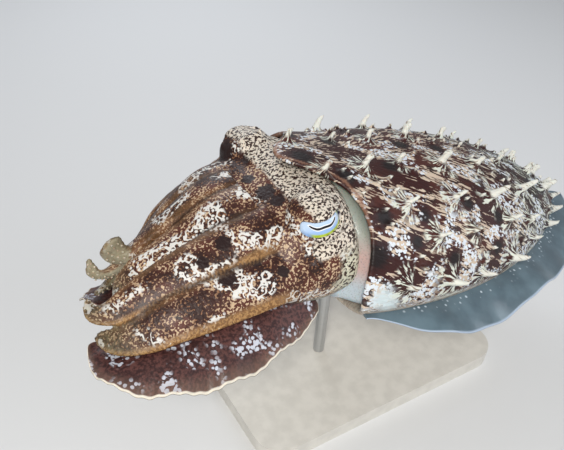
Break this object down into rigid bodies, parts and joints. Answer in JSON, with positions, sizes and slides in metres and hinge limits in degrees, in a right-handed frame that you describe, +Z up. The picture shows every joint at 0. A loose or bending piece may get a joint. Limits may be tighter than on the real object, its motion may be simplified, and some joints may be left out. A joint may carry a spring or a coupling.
{
  "type": "broadclub cuttlefish museum model",
  "caption": "Life-size still model of a hovering broadclub cuttlefish with arms gathered into a cone, suckers, frilled fins and raised skin papillae, held on a low stand by slim rods.",
  "frame": {"origin": "centre of the stand base's underside", "axes": "+X towards the tail, -Y to the animal's left side, +Z up"},
  "size_m": [0.4984, 0.2418, 0.2467],
  "materials": {
    "skin": "soft matt, wet looking",
    "fin": "thin translucent",
    "collar": "smooth pale",
    "eye": "clear gloss",
    "pale_flesh": "soft matt",
    "stand_base": "smooth satin paint",
    "stand_rod": "brushed"
  },
  "bodies": {
    "root": {"mantle": "skin", "fin_left_front": "fin", "fin_left_rear": "fin", "fin_right_front": "fin", "fin_right_rear": "fin", "neck": "collar", "head": "skin", "eye_left": "eye", "eye_right": "eye", "funnel": "pale_flesh", "arm_left_1_root": "skin", "arm_left_1_tip": "skin", "arm_left_2_root": "skin", "arm_left_2_tip": "skin", "arm_left_3_root": "skin", "arm_left_3_tip": "skin", "arm_left_4_root": "skin", "arm_left_4_tip": "skin", "arm_right_1_root": "skin", "arm_right_1_tip": "skin", "arm_right_2_root": "skin", "arm_right_2_tip": "skin", "arm_right_3_root": "skin", "arm_right_3_tip": "skin", "arm_right_4_root": "skin", "arm_right_4_tip": "skin", "keel_left_rear": "skin", "keel_left_front": "skin", "keel_right_rear": "skin", "keel_right_front": "skin", "mouth": "pale_flesh", "stand_base": "stand_base", "stand_rod_front": "stand_rod", "stand_rod_rear": "stand_rod"}
  },
  "joints": []
}
